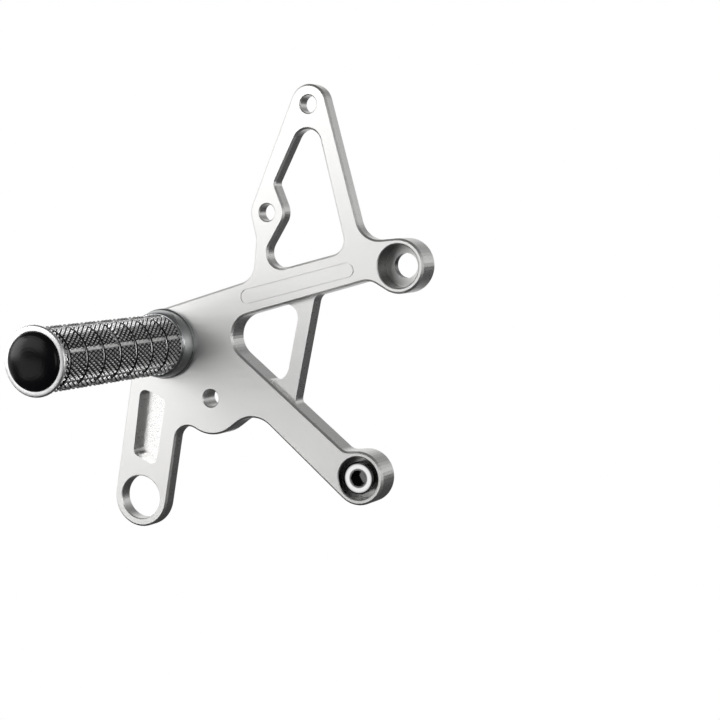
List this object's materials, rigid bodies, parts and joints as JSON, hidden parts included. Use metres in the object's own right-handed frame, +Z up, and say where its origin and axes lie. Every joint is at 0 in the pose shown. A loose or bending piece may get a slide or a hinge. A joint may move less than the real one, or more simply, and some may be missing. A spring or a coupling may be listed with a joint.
{
  "type": "rear sets footrest",
  "caption": "Machined plate bracket with two counterbored frame bosses and a fixed knurled foot peg with a domed end plug.",
  "frame": {"origin": "on the axis of the upper frame bore, on the back seating face of its boss", "axes": "+Z up and +X to the right as seen on the plate's outer face, +Y away from the peg's end, towards the frame, along the frame bores"},
  "size_m": [0.1412, 0.1201, 0.1833],
  "materials": {
    "satin_plate": "satin machined",
    "knurled_alloy": "turned and knurled",
    "black_plug": "gloss",
    "bolt_steel": "plain",
    "plated_bolt": "bright plated"
  },
  "bodies": {
    "root": {"bracket": "satin_plate", "footpeg": "knurled_alloy", "end_plug": "black_plug", "peg_bolt": "bolt_steel", "peg_washer": "bolt_steel", "frame_bolt": "plated_bolt"}
  },
  "joints": []
}
